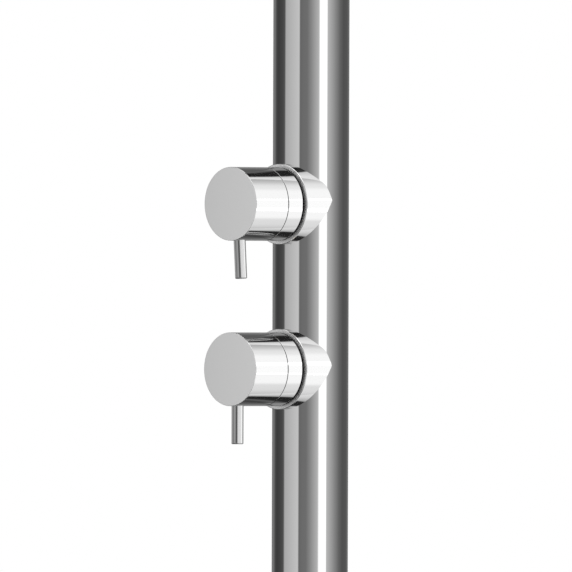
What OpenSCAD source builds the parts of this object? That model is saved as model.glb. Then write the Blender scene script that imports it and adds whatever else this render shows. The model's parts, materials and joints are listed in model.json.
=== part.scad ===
// Free-standing outdoor shower post with a hot and a cold control.
// The origin is the middle of the base plate's underside, +Z is up, and the
// controls and the shower arm point along -Y.

/* [Post] */
// Outside diameter of the post tube
post_d = 50.8; // [50:0.2:56]
// Wall of the post tube
post_wall = 1.5; // [1.2:0.1:2]
// Height of the post tube's top edge over the floor
post_h = 2150; // [2110:10:2300]
// Thickness of the flat cap on the post
cap_t = 4; // [3:0.5:8]
// Depth of the cap's spigot inside the tube
cap_spigot_l = 14; // [8:1:20]

/* [Base] */
// Diameter of the round base plate
base_d = 220; // [215:5:300]
// Thickness of the base plate
base_t = 10; // [8:1:15]
// Height of the neck round the tube, over the plate
neck_h = 14; // [12:1:30]
// Wall of the neck round the tube
neck_wall = 5; // [4:0.5:8]
// Radius of the blend from plate to neck
neck_blend_r = 7; // [4:0.5:10]
// Pitch circle of the anchor holes
anchor_pcd = 180; // [150:5:185]
// Diameter of each anchor hole
anchor_hole_d = 12; // [9:0.5:14]
// Number of anchor holes
anchor_count = 4; // [3:1:6]

/* [Controls] */
// Height of the lower control's axis over the floor
lower_control_h = 1040; // [900:10:1100]
// Distance between the axes of the two controls
control_spacing = 110; // [105:1:200]
// How far the collar's face stands off the front of the post
collar_stand = 4; // [3:0.5:8]
// How far the collar is wider than the sleeve, on each side
collar_lip = 2.4; // [1:0.1:3]
// Gap between the collar's face and the sleeve
groove_w = 2.1; // [1.5:0.1:3]
// Length of the fixed sleeve
sleeve_l = 13.6; // [13:0.2:18]
// Wall of the fixed sleeve
sleeve_wall = 1.8; // [1:0.1:2]
// Running gap between the sleeve and the handle
seam_w = 0.35; // [0.3:0.05:0.6]
// Length of the handle
handle_l = 30.2; // [29.5:0.5:36]
// Wall of the handle's skirt
handle_wall = 3; // [2:0.5:3.5]
// Thickness of the handle's solid front
handle_web_t = 13.5; // [12.5:0.5:14]
// Chamfer round the handle's face
handle_edge = 0.5; // [0.3:0.1:1]

/* [Lever pins] */
// Diameter of the lever pin
lever_d = 8; // [6:0.5:9]
// Reach of the lever pin from the control's axis
lever_reach = 49.8; // [40:0.5:52]
// Distance from the handle's face to the lever pin's axis
lever_setback = 7.2; // [6.5:0.1:7.6]
// Depth of the lever pin in the handle
lever_seat_l = 12; // [8:0.5:14]
// Rounding at the lever pin's free end
lever_edge = 0.8; // [0.4:0.1:1.5]
// Lean of the upper lever from straight down, to the right, in degrees
upper_lean = 3.5; // [0:0.5:6]
// Diameter of the grub screw that holds the handle
grub_d = 5; // [4:0.5:6]
// Length of the grub screw
grub_l = 5; // [4:0.5:5.5]

/* [Valves] */
// Diameter of the cartridge
cartridge_d = 35; // [34:0.5:35.5]
// Length of the cartridge in its barrel
cartridge_l = 30; // [28:0.5:31]
// Wall of the brass barrel round the cartridge
barrel_wall = 2.2; // [1.8:0.1:2.5]
// Wall of the ring nut outside the barrel
nut_wall = 2.6; // [2:0.1:3]
// Length of the ring nut
nut_l = 10; // [8:0.5:11]
// Thickness of the ring nut's front flange
nut_flange_t = 3; // [2:0.5:4]
// Thickness of the gasket under the cartridge
gasket_t = 1.5; // [1:0.1:2]
// Diameter of the ceramic discs
disc_d = 28; // [26:0.5:29]
// Thickness of each ceramic disc
disc_t = 3.5; // [2.5:0.5:4]
// Diameter of the spindle
spindle_d = 12; // [10:0.5:13]
// Width of the spindle's square drive
drive_w = 8; // [6:0.5:8]
// Length of the spindle's square drive
drive_l = 12.5; // [12:0.5:13]
// Diameter of the cartridge's front neck
cartridge_neck_d = 22; // [20:0.5:26]
// Diameter of the water passages in the brass
passage_d = 6; // [5:0.5:6.5]

/* [Water pipes] */
// Outside diameter of the copper pipes
pipe_d = 10; // [9:0.5:10.5]
// Wall of the copper pipes
pipe_wall = 1; // [0.8:0.1:1.5]
// Radius of the pipe bends
pipe_bend_r = 25; // [25:1:30]
// Distance between the hot and the cold inlet
inlet_spacing = 22; // [21.5:0.5:23]
// Bore of the threaded inlets in the inlet block
inlet_bore_d = 15; // [12:0.5:16]
// Depth of the threaded inlets
inlet_bore_l = 12; // [10:1:14]
// Height of the inlet block
block_h = 26; // [24:1:32]

/* [Arm] */
// Height of the arm's axis over the floor
arm_h = 2060; // [2000:10:2070]
// Distance from the post's axis to the shower head's axis
arm_reach = 340; // [250:10:400]
// Outside diameter of the arm
arm_d = 22; // [20:0.5:25]
// Wall of the arm
arm_wall = 1.5; // [1:0.1:2]
// Radius of the arm's bend
arm_bend_r = 45; // [40:1:60]
// Straight drop below the bend
arm_drop = 30; // [20:1:60]
// Wall of the collar round the arm
arm_collar_wall = 5; // [3:0.5:8]
// Stand-off of the arm's collar
arm_collar_stand = 7; // [5:0.5:12]

/* [Shower head] */
// Diameter of the shower head
head_d = 200; // [150:5:250]
// Height of the shower head's rim
head_rim_h = 9; // [8:0.5:14]
// Wall of the shower head
head_wall = 1.5; // [1:0.1:2]
// Height of the crown over the rim
head_crown_h = 5; // [4:0.5:10]
// Diameter of the ball
ball_d = 20; // [18:0.5:22]
// Diameter of the ball's neck
ball_neck_d = 11; // [9:0.5:12]
// Outside diameter of the ball nut
ball_nut_d = 34; // [33:0.5:40]
// Thickness of the nozzle plate
nozzle_plate_t = 2; // [1.5:0.5:3]
// Diameter of a nozzle where it leaves the plate
nozzle_d = 4; // [3:0.5:5]
// Drop of the nozzles below the plate
nozzle_drop = 2; // [1:0.5:3]
// Number of nozzle rings
nozzle_rings = 5; // [3:1:6]
// Nozzles in the first ring, and how many more each next ring has
nozzle_step = 6; // [4:1:6]

/* [Clearances] */
// Radial gap of a fixed seat
seat_gap = 0.2; // [0.1:0.05:0.3]
// Radial gap of a turning fit
running_gap = 0.05; // [0.02:0.01:0.1]
// Gap between a moving piece and what it passes
free_gap = 0.3; // [0.3:0.05:0.5]

/* [Hidden] */

$fn = 96;

// One overrun for every cut, and the finest edge break
cut = 1;
edge = 0.5;

// Radii of the post, and how far its foot stays off the floor
post_r = post_d / 2;
post_in_r = post_r - post_wall;
foot_gap = edge;
cap_inset = edge;

// Sizes across a control, from the cartridge outwards
cartridge_r = cartridge_d / 2;
barrel_in_r = cartridge_r + seat_gap;
barrel_r = barrel_in_r + barrel_wall;
nut_r = barrel_r + nut_wall;
sleeve_in_r = nut_r + seat_gap;
sleeve_r = sleeve_in_r + sleeve_wall;
handle_r = sleeve_r;
collar_r = handle_r + collar_lip;
collar_bore_r = barrel_r + seat_gap;
collar_back_share = 0.27;
collar_back = collar_back_share * post_r;
collar_tip_h = 2.5;

// Stations along a control's axis, from the post's axis outwards
collar_front = post_r + collar_stand;
sleeve_back = collar_front + groove_w;
sleeve_front = sleeve_back + sleeve_l;
handle_back = sleeve_front + seam_w;
handle_front = handle_back + handle_l;
web_back = handle_front - handle_web_t;
lever_at = handle_front - lever_setback;
nut_setback = 1.5;
nut_front = sleeve_front - nut_setback;
barrel_front = nut_front - nut_flange_t;
cartridge_back = barrel_front - cartridge_l;
cavity_floor = cartridge_back - gasket_t;
cartridge_floor_t = 2;
fixed_disc_back = cartridge_back + cartridge_floor_t;
moving_disc_back = fixed_disc_back + disc_t;
plate_back = moving_disc_back + disc_t;
plate_t = 4;
chamber_front = plate_back + plate_t + running_gap;
cartridge_neck_l = 4;
neck_front = nut_front + cartridge_neck_l;
boss_gap = 1.5;
boss_back = neck_front + boss_gap;
boss_r = 9;
socket_front = neck_front + drive_l + seat_gap;
grub_at = (boss_back + web_back) / 2;
groove_ring_depth = 1;
seal_section = 1.5;
seal_at = (chamber_front + barrel_front) / 2;

// Water ways inside the post
pipe_r = pipe_d / 2;
supply_x = inlet_spacing / 2;
supply_t = -2;
mixed_t = 2;
hot_back_t = -(post_in_r - free_gap - pipe_r);
barrel_back = -min(sqrt(pow(post_in_r - free_gap, 2) - pow(barrel_r, 2)),
                   post_in_r - 2 * free_gap - pipe_d);
bend_steps = 6;
pipe_sides = 24;
socket_l = 8;
socket_r = pipe_r + running_gap;
drill_r = pipe_r - pipe_wall;
inlet_port = [9, -4];
outlet_port = [0, 8];
quarter_turn = 90;
upper_control_h = lower_control_h + control_spacing;

// Arm and head
arm_r = arm_d / 2;
arm_start = post_in_r - 9;
arm_end_z = arm_h - arm_bend_r - arm_drop;
spigot_l = 12;
spigot_r = arm_r - arm_wall - running_gap;
elbow_back = -9;
stem_flange_t = 5;
ball_r = ball_d / 2;
ball_neck_l = 7;
ball_z = arm_end_z - stem_flange_t - ball_neck_l - ball_r;
ball_gap = free_gap;
nut_lip_share = 0.83;
ball_lip_r = nut_lip_share * ball_r;
ball_lip_h = sqrt(pow(ball_r, 2) - pow(ball_lip_r, 2));
ball_nut_top = ball_z + ball_lip_h + 1.2;
ball_nut_h = 17;
ball_nut_bottom = ball_nut_top - ball_nut_h;
head_neck_in_r = ball_r + ball_gap;
head_neck_r = head_neck_in_r + 2.7;
head_neck_top = ball_z - 1;
seat_bottom = ball_z - ball_r - 2;
head_r = head_d / 2;
crown_top = ball_nut_bottom - edge;
rim_top = crown_top - head_crown_h;
rim_bottom = rim_top - head_rim_h;
nozzle_plate_top = rim_bottom + nozzle_plate_t;
nozzle_pitch = (head_r - 2 * head_wall - nozzle_d) / (nozzle_rings + 0.5);

// Colours of the materials
steel = [0.83, 0.84, 0.85];
bright = [0.90, 0.91, 0.92];
brass = [0.78, 0.62, 0.32];
copper = [0.76, 0.46, 0.30];
black_rubber = [0.06, 0.06, 0.06];
grey_silicone = [0.35, 0.36, 0.37];
white_plastic = [0.92, 0.92, 0.90];
ceramic = [0.96, 0.95, 0.92];
dark_steel = [0.25, 0.25, 0.27];

// Local +Z runs out along a control's axis, and local +Y is up
module at_control(height) {
    translate([0, 0, height]) rotate([90, 0, 0]) children();
}

// The same for what turns with the lever, which leans at rest
module at_lever(height, lean) {
    at_control(height) rotate([0, 0, lean]) children();
}

// A plain ring about Z from one height to another
module ring(outer, inner, low, high) {
    rotate_extrude() translate([inner, low]) square([outer - inner, high - low]);
}

// A solid rod about Z
module rod(radius, low, high) {
    translate([0, 0, low]) cylinder(r = radius, h = high - low);
}

// A disc with broken edges at its top
module chamfered_disc(radius, low, high, break_w) {
    rotate_extrude() polygon([
        [0, low], [radius, low], [radius, high - break_w],
        [radius - break_w, high], [0, high]
    ]);
}

// The tube of a pipe, upright, from one height to another
module straight_pipe(low, high) {
    ring(pipe_r, pipe_r - pipe_wall, low, high);
}

// A round bend that starts upright at the origin and leans towards +X
module bend(radius, angle, thickness) {
    translate([radius, 0, 0]) rotate([90, 0, 180]) rotate_extrude(angle = angle)
        translate([radius, 0]) circle(r = thickness);
}

// Points [along, height, lean] of a double bend that starts at one place along
// a plan line and moves by reach, forwards for a sign of 1 and back for -1
function double_bend(start, low, reach, sign) =
    let (angle = acos(1 - reach / (2 * pipe_bend_r)),
         r = pipe_bend_r,
         leans = [for (k = [0 : bend_steps]) angle * k / bend_steps])
    concat(
        [for (a = leans) [start + sign * r * (1 - cos(a)), low + r * sin(a), sign * a]],
        [for (k = [bend_steps - 1 : -1 : 0]) let (a = leans[k])
            [start + sign * (reach - r * (1 - cos(a))),
             low + 2 * r * sin(angle) - r * sin(a), sign * a]]
    );

// Height that a double bend takes up
function bend_rise(reach) =
    let (angle = acos(1 - reach / (2 * pipe_bend_r))) 2 * pipe_bend_r * sin(angle);

// A pipe through the points of a path that lies in one upright plane
module swept_pipe(path, outer, inner, sides) {
    rings = len(path);
    points = [for (r = [outer, inner], p = path, j = [0 : sides - 1])
        let (turn = j * 360 / sides)
        [p[0] + r * cos(turn) * cos(p[2]), r * sin(turn),
         p[1] - r * cos(turn) * sin(p[2])]];
    skin = rings * sides;
    walls = [for (i = [0 : rings - 2], j = [0 : sides - 1])
        let (k = (j + 1) % sides, a = i * sides + j, b = i * sides + k,
             c = a + sides, d = b + sides)
        each [[a, c, b], [b, c, d],
              [skin + a, skin + b, skin + c], [skin + b, skin + d, skin + c]]];
    ends = [for (j = [0 : sides - 1])
        let (k = (j + 1) % sides, top = skin - sides)
        each [[j, k, skin + j], [k, skin + k, skin + j],
              [top + j, top + skin + j, top + k], [top + k, top + skin + j, top + skin + k]]];
    polyhedron(points, concat(walls, ends));
}

module base_plate() {
    neck_in_r = post_r + seat_gap;
    neck_out_r = neck_in_r + neck_wall;
    top = base_t + neck_h;
    color(steel) difference() {
        rotate_extrude() difference() {
            polygon([
                [neck_in_r, 0], [base_d / 2 - edge, 0], [base_d / 2, edge],
                [base_d / 2, base_t - 2 * edge], [base_d / 2 - 2 * edge, base_t],
                [neck_out_r + neck_blend_r, base_t],
                [neck_out_r, base_t + neck_blend_r],
                [neck_out_r, top - edge], [neck_out_r - edge, top], [neck_in_r, top]
            ]);
            translate([neck_out_r + neck_blend_r, base_t + neck_blend_r])
                circle(r = neck_blend_r);
        }
        for (i = [0 : anchor_count - 1])
            rotate([0, 0, (i + 0.5) * 360 / anchor_count])
                translate([anchor_pcd / 2, 0, -cut])
                    cylinder(d = anchor_hole_d, h = base_t + 2 * cut);
    }
}

// Brass block in the foot of the post with the two threaded inlets
module inlet_block() {
    low = foot_gap;
    high = foot_gap + block_h;
    color(brass) difference() {
        chamfered_disc(post_in_r - seat_gap, low, high, edge);
        for (side = [-1, 1]) translate([side * supply_x, -supply_t, 0]) {
            rod(inlet_bore_d / 2, low - cut, low + inlet_bore_l);
            rod(drill_r, low, high);
            rod(socket_r, high - socket_l, high + cut);
        }
    }
}

module post_tube() {
    color(steel) difference() {
        ring(post_r, post_in_r, foot_gap, post_h);
        for (height = [lower_control_h, upper_control_h])
            at_control(height) rod(collar_bore_r, 0, post_d);
        at_control(arm_h) rod(arm_r + seat_gap, 0, post_d);
    }
}

module top_cap() {
    color(steel) {
        chamfered_disc(post_r, post_h, post_h + cap_t, edge);
        ring(post_in_r - running_gap, post_in_r - post_wall - cap_inset,
             post_h - cap_spigot_l, post_h + edge);
    }
}

module cold_pipe() {
    color(copper) translate([supply_x, -supply_t, 0])
        straight_pipe(foot_gap + block_h - socket_l,
                      lower_control_h - barrel_side(supply_x) + socket_l);
}

// Goes behind the lower barrel, and comes forward again under the upper one
module hot_pipe() {
    front = [-supply_x, -supply_t];
    behind = [0, -hot_back_t];
    move = behind - front;
    reach = norm(move);
    rise = bend_rise(reach);
    first = lower_control_h - barrel_r - pipe_d - rise;
    second = upper_control_h - barrel_r - edge - rise;
    low = foot_gap + block_h - socket_l;
    high = upper_control_h - barrel_side(supply_x) + socket_l;
    color(copper) translate([front[0], front[1], 0])
        rotate([0, 0, atan2(move[1], move[0])])
            swept_pipe(concat([[0, low, 0]], double_bend(0, first, reach, 1),
                              double_bend(reach, second, reach, -1), [[0, high, 0]]),
                       pipe_r, pipe_r - pipe_wall, pipe_sides);
}

module link_pipe() {
    color(copper) translate([0, -mixed_t, 0])
        straight_pipe(lower_control_h + barrel_r - socket_l,
                      upper_control_h - barrel_r + socket_l);
}

module riser_pipe() {
    color(copper) translate([0, -mixed_t, 0])
        straight_pipe(upper_control_h + barrel_r - socket_l,
                      arm_h - elbow_r() + elbow_socket_l());
}

// Half height of the barrel at a distance beside its axis
function barrel_side(x) = sqrt(pow(barrel_r, 2) - pow(x, 2));

function elbow_r() = arm_r + 1;
function elbow_socket_l() = elbow_r() / 2;

// Brass elbow inside the post that turns the riser's water into the arm
module arm_elbow() {
    color(brass) difference() {
        at_control(arm_h) {
            rod(elbow_r(), elbow_back, arm_start);
            rod(spigot_r, elbow_back, arm_start + spigot_l);
        }
        at_control(arm_h)
            rod(spigot_r / 2, mixed_t - drill_r - edge, arm_start + spigot_l + cut);
        translate([0, -mixed_t, arm_h]) {
            rod(drill_r, -elbow_r(), 0);
            rod(socket_r, -elbow_r() - cut, elbow_socket_l() - elbow_r());
        }
    }
}

// A boss welded on the post, cut to sit on it like a saddle
module saddle_collar(outer, bore, front, back) {
    difference() {
        rotate_extrude() polygon([
            [bore, back], [outer, back], [outer, front - edge],
            [outer - edge, front], [bore, front]
        ]);
        rotate([90, 0, 0]) translate([0, 0, -outer - cut])
            cylinder(r = post_r, h = 2 * (outer + cut));
    }
}

module arm_collar() {
    color(steel) at_control(arm_h)
        saddle_collar(arm_r + seat_gap + arm_collar_wall, arm_r + seat_gap,
                      post_r + arm_collar_stand, 0);
}

module arm_way(thickness, back, low) {
    run = arm_reach - arm_bend_r;
    at_control(arm_h) rod(thickness, back, run);
    translate([0, -run, arm_h]) rotate([0, 0, -90])
        translate([arm_bend_r, 0, -arm_bend_r]) rotate([0, 0, 180])
            bend(arm_bend_r, 90, thickness);
    translate([0, -arm_reach, 0]) rod(thickness, low, arm_h - arm_bend_r);
}

module shower_arm() {
    color(steel) difference() {
        arm_way(arm_r, arm_start, arm_end_z);
        arm_way(arm_r - arm_wall, arm_start - cut, arm_end_z - cut);
    }
}

// Screwed into the arm, with the ball that the head hangs on
module ball_stem() {
    bore = ball_neck_d / 4;
    color(bright) translate([0, -arm_reach, 0]) difference() {
        union() {
            rod(spigot_r, arm_end_z - edge, arm_end_z + spigot_l);
            chamfered_disc(arm_r + edge, arm_end_z - stem_flange_t, arm_end_z, edge);
            rod(ball_neck_d / 2, ball_z, arm_end_z - edge);
            translate([0, 0, ball_z]) sphere(r = ball_r);
        }
        rod(bore, ball_z - ball_r - cut, arm_end_z + spigot_l + cut);
    }
}

module ball_nut() {
    color(bright) translate([0, -arm_reach, 0]) difference() {
        chamfered_disc(ball_nut_d / 2, ball_nut_bottom, ball_nut_top, 2 * edge);
        translate([0, 0, ball_z]) sphere(r = ball_r + ball_gap);
        rod(ball_lip_r, ball_z, ball_nut_top + cut);
        rod(head_neck_r + running_gap, ball_nut_bottom - cut, head_neck_top + edge);
    }
}

// Plastic cup that the ball turns on
module ball_seat() {
    color(white_plastic) translate([0, -arm_reach, 0]) difference() {
        rod(head_neck_in_r - running_gap, seat_bottom, ball_z - ball_r / 2);
        translate([0, 0, ball_z]) sphere(r = ball_r + ball_gap);
        rod(ball_r / 3, seat_bottom - cut, ball_z);
    }
}

module head_shell() {
    inner = head_r - head_wall;
    color(bright) translate([0, -arm_reach, 0]) rotate_extrude() polygon([
        [ball_r / 3, seat_bottom], [head_neck_in_r, seat_bottom],
        [head_neck_in_r, head_neck_top], [head_neck_r, head_neck_top],
        [head_neck_r, crown_top], [ball_nut_d / 2, crown_top],
        [inner, rim_top + edge], [head_r - edge, rim_top], [head_r, rim_top - edge],
        [head_r, rim_bottom], [inner, rim_bottom], [inner, rim_top - head_wall],
        [ball_nut_d / 2, crown_top - head_wall - edge],
        [head_neck_r, crown_top - 2 * head_wall],
        [ball_r / 3, crown_top - 2 * head_wall]
    ]);
}

function ring_count(i) = nozzle_step * i;

// Places for one nozzle in the middle and the rings round it
module at_nozzles() {
    translate([0, -arm_reach, 0]) {
        children();
        for (i = [1 : nozzle_rings], j = [0 : ring_count(i) - 1])
            rotate([0, 0, j * 360 / ring_count(i)])
                translate([i * nozzle_pitch, 0, 0]) children();
    }
}

module nozzle_plate() {
    color(bright) difference() {
        translate([0, -arm_reach, 0])
            rod(head_r - head_wall - running_gap, rim_bottom, nozzle_plate_top);
        at_nozzles() rod(nozzle_d / 2, rim_bottom - cut, nozzle_plate_top + cut);
    }
}

// Soft nozzles that stand through the plate, each with its jet hole
module nozzles() {
    tip_share = 0.6;
    hole_share = 0.3;
    color(grey_silicone) at_nozzles() rotate_extrude($fn = 24) polygon([
        [hole_share * nozzle_d / 2, rim_bottom - nozzle_drop],
        [tip_share * nozzle_d / 2, rim_bottom - nozzle_drop],
        [nozzle_d / 2, rim_bottom], [nozzle_d / 2, nozzle_plate_top],
        [hole_share * nozzle_d / 2, nozzle_plate_top]
    ]);
}

// Dresses the side tips of a collar to blunt points a little over its axis
module tip_cut() {
    reach = 2 * collar_r;
    rise_share = 0.3;
    fall_share = 0.59;
    rotate([90, 0, 90]) translate([0, 0, -reach / 2 - cut])
        linear_extrude(height = reach + 2 * cut) polygon([
            [collar_tip_h, collar_back],
            [collar_tip_h + reach, collar_back + rise_share * reach],
            [collar_tip_h + reach, -cut], [collar_tip_h - reach, -cut],
            [collar_tip_h - reach, collar_back + fall_share * reach]
        ]);
}

module collar(height) {
    color(steel) at_control(height) difference() {
        saddle_collar(collar_r, collar_bore_r, collar_front, collar_back);
        tip_cut();
    }
}

// Black seal in the groove between the collar and the sleeve
module groove_ring(height) {
    color(black_rubber) at_control(height)
        ring(sleeve_r - groove_ring_depth, collar_bore_r, collar_front, sleeve_back);
}

module sleeve(height) {
    color(bright) at_control(height) rotate_extrude() polygon([
        [sleeve_in_r, sleeve_back], [sleeve_r - edge / 2, sleeve_back],
        [sleeve_r, sleeve_back + edge / 2], [sleeve_r, sleeve_front],
        [sleeve_in_r, sleeve_front]
    ]);
}

// Brass barrel; side is 1 where the supply comes up on the right
module valve_body(height, side, through) {
    color(brass) difference() {
        at_control(height) difference() {
            rod(barrel_r, barrel_back, barrel_front);
            rod(barrel_in_r, cavity_floor, barrel_front + cut);
            translate([side * inlet_port[0], inlet_port[1], 0])
                rod(passage_d / 2, supply_t, cavity_floor + cut);
            translate([outlet_port[0], outlet_port[1], 0])
                rod(passage_d / 2, mixed_t, cavity_floor + cut);
        }
        translate([side * supply_x, -supply_t, height]) {
            rod(drill_r, -barrel_r, inlet_port[1] + passage_d / 2 + edge);
            rod(socket_r, -barrel_r - cut, socket_l - barrel_side(supply_x));
        }
        translate([0, -mixed_t, height]) {
            rod(drill_r, through ? -barrel_r : outlet_port[1] - passage_d / 2 - edge, barrel_r);
            rod(socket_r, barrel_r - socket_l, barrel_r + cut);
            if (through) rod(socket_r, -barrel_r - cut, socket_l - barrel_r);
        }
    }
}

// The two water ports through a disc, gasket or floor
module ports(side, low, high) {
    translate([side * inlet_port[0], inlet_port[1], 0]) rod(passage_d / 2, low, high);
    translate([outlet_port[0], outlet_port[1], 0]) rod(passage_d / 2, low, high);
}

module cartridge(height, side) {
    color(white_plastic) at_control(height) difference() {
        union() {
            rod(cartridge_r, cartridge_back, barrel_front);
            rod(cartridge_neck_d / 2, barrel_front - edge, neck_front);
        }
        rod(disc_d / 2 + seat_gap, fixed_disc_back, chamber_front);
        rod(spindle_d / 2 + running_gap, chamber_front - edge, neck_front + cut);
        ports(side, cartridge_back - cut, fixed_disc_back + cut);
    }
}

module gasket(height, side) {
    color(black_rubber) at_control(height) difference() {
        rod(cartridge_r - edge, cavity_floor, cartridge_back);
        ports(side, cavity_floor - cut, cartridge_back + cut);
    }
}

module fixed_disc(height, side) {
    color(ceramic) at_control(height) difference() {
        rod(disc_d / 2, fixed_disc_back, moving_disc_back);
        ports(side, fixed_disc_back - cut, moving_disc_back + cut);
    }
}

// Its pocket joins the two ports after a quarter turn
module moving_disc(height, side, lean) {
    pocket_r = norm(inlet_port);
    pocket_from = atan2(inlet_port[1], inlet_port[0]) - quarter_turn;
    pocket_to = atan2(outlet_port[1], outlet_port[0]) - quarter_turn;
    color(ceramic) at_lever(height, lean) difference() {
        rod(disc_d / 2, moving_disc_back, plate_back);
        rotate([0, 0, side > 0 ? pocket_from : 2 * quarter_turn - pocket_to])
            translate([0, 0, moving_disc_back - cut])
                rotate_extrude(angle = pocket_to - pocket_from)
                    translate([pocket_r - passage_d / 2, 0])
                        square([passage_d, cut + disc_t / 2]);
    }
}

module ring_nut(height) {
    nut_back = nut_front - nut_l;
    flats = 4;
    flat_w = 6;
    color(brass) at_control(height) difference() {
        ring(nut_r, cartridge_neck_d / 2 + free_gap, nut_back, nut_front);
        rod(barrel_r + running_gap, nut_back - cut, barrel_front);
        for (i = [0 : flats - 1]) rotate([0, 0, i * 360 / flats])
            translate([barrel_r - edge, -flat_w / 2, nut_front - nut_flange_t / 2])
                cube([nut_wall + 2 * edge, flat_w, nut_flange_t]);
    }
}

module spindle(height, lean) {
    groove_r = spindle_d / 2 - seal_section;
    color(brass) at_lever(height, lean) {
        difference() {
            union() {
                rod(disc_d / 2, plate_back, plate_back + plate_t);
                rod(spindle_d / 2, plate_back, neck_front);
            }
            ring(spindle_d / 2 + cut, groove_r, seal_at - seal_section / 2 - edge / 2,
                 seal_at + seal_section / 2 + edge / 2);
        }
        translate([-drive_w / 2, -drive_w / 2, neck_front])
            cube([drive_w, drive_w, drive_l]);
    }
}

module spindle_seal(height) {
    color(black_rubber) at_control(height) rotate_extrude()
        translate([spindle_d / 2 - seal_section / 2, seal_at])
            circle(d = seal_section - running_gap);
}

module handle(height, lean) {
    inner = handle_r - handle_wall;
    socket_w = drive_w + 2 * running_gap;
    color(bright) at_lever(height, lean) difference() {
        rotate_extrude() polygon([
            [0, web_back], [inner, web_back], [inner, handle_back],
            [handle_r - edge / 2, handle_back], [handle_r, handle_back + edge / 2],
            [handle_r, handle_front - handle_edge],
            [handle_r - handle_edge, handle_front], [0, handle_front]
        ]);
        translate([0, -handle_r - cut, lever_at]) rotate([-90, 0, 0])
            cylinder(r = lever_d / 2 + running_gap, h = lever_seat_l + cut + running_gap);
        translate([0, -handle_r - cut, grub_at]) rotate([-90, 0, 0])
            cylinder(r = grub_d / 2 + free_gap, h = handle_wall + 2 * cut);
    }
    color(bright) at_lever(height, lean) difference() {
        rod(boss_r, boss_back, web_back + edge / 2);
        translate([-socket_w / 2, -socket_w / 2, boss_back - cut])
            cube([socket_w, socket_w, socket_front - boss_back + cut]);
        translate([0, 0, grub_at]) rotate([90, 0, 0])
            cylinder(r = grub_d / 2 + running_gap, h = boss_r + cut);
    }
}

module lever_pin(height, lean) {
    inner_end = handle_r - lever_seat_l;
    r = lever_d / 2;
    color(bright) at_lever(height, lean) translate([0, 0, lever_at]) rotate([90, 0, 0])
        rotate_extrude() polygon([
            [0, inner_end], [r - edge, inner_end], [r, inner_end + edge],
            [r, lever_reach - lever_edge], [r - lever_edge, lever_reach], [0, lever_reach]
        ]);
}

// Hexagon socket screw that bears on the spindle's square
module grub_screw(height, lean) {
    key_share = 0.5;
    start = drive_w / 2 + running_gap;
    color(dark_steel) at_lever(height, lean) translate([0, 0, grub_at]) rotate([90, 0, 0])
        difference() {
            rod(grub_d / 2, start, start + grub_l);
            translate([0, 0, start + grub_l / 2])
                cylinder(d = key_share * grub_d, h = grub_l, $fn = 6);
        }
}

module lower_collar() { collar(lower_control_h); }
module lower_groove_ring() { groove_ring(lower_control_h); }
module lower_sleeve() { sleeve(lower_control_h); }
module lower_valve_body() { valve_body(lower_control_h, 1, false); }
module lower_cartridge() { cartridge(lower_control_h, 1); }
module lower_gasket() { gasket(lower_control_h, 1); }
module lower_fixed_disc() { fixed_disc(lower_control_h, 1); }
module lower_ring_nut() { ring_nut(lower_control_h); }
module lower_moving_disc() { moving_disc(lower_control_h, 1, 0); }
module lower_spindle() { spindle(lower_control_h, 0); }
module lower_spindle_seal() { spindle_seal(lower_control_h); }
module lower_handle() { handle(lower_control_h, 0); }
module lower_lever_pin() { lever_pin(lower_control_h, 0); }
module lower_grub_screw() { grub_screw(lower_control_h, 0); }
module upper_collar() { collar(upper_control_h); }
module upper_groove_ring() { groove_ring(upper_control_h); }
module upper_sleeve() { sleeve(upper_control_h); }
module upper_valve_body() { valve_body(upper_control_h, -1, true); }
module upper_cartridge() { cartridge(upper_control_h, -1); }
module upper_gasket() { gasket(upper_control_h, -1); }
module upper_fixed_disc() { fixed_disc(upper_control_h, -1); }
module upper_ring_nut() { ring_nut(upper_control_h); }
module upper_moving_disc() { moving_disc(upper_control_h, -1, upper_lean); }
module upper_spindle() { spindle(upper_control_h, upper_lean); }
module upper_spindle_seal() { spindle_seal(upper_control_h); }
module upper_handle() { handle(upper_control_h, upper_lean); }
module upper_lever_pin() { lever_pin(upper_control_h, upper_lean); }
module upper_grub_screw() { grub_screw(upper_control_h, upper_lean); }

base_plate();
inlet_block();
post_tube();
top_cap();
cold_pipe();
hot_pipe();
link_pipe();
riser_pipe();
arm_elbow();
arm_collar();
shower_arm();
ball_stem();
ball_nut();
ball_seat();
head_shell();
nozzle_plate();
nozzles();
lower_collar();
lower_groove_ring();
lower_sleeve();
lower_valve_body();
lower_cartridge();
lower_gasket();
lower_fixed_disc();
lower_ring_nut();
lower_moving_disc();
lower_spindle();
lower_spindle_seal();
lower_handle();
lower_lever_pin();
lower_grub_screw();
upper_collar();
upper_groove_ring();
upper_sleeve();
upper_valve_body();
upper_cartridge();
upper_gasket();
upper_fixed_disc();
upper_ring_nut();
upper_moving_disc();
upper_spindle();
upper_spindle_seal();
upper_handle();
upper_lever_pin();
upper_grub_screw();
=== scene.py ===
import json
import math

import bmesh
import bpy
from mathutils import Matrix, Vector

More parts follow.
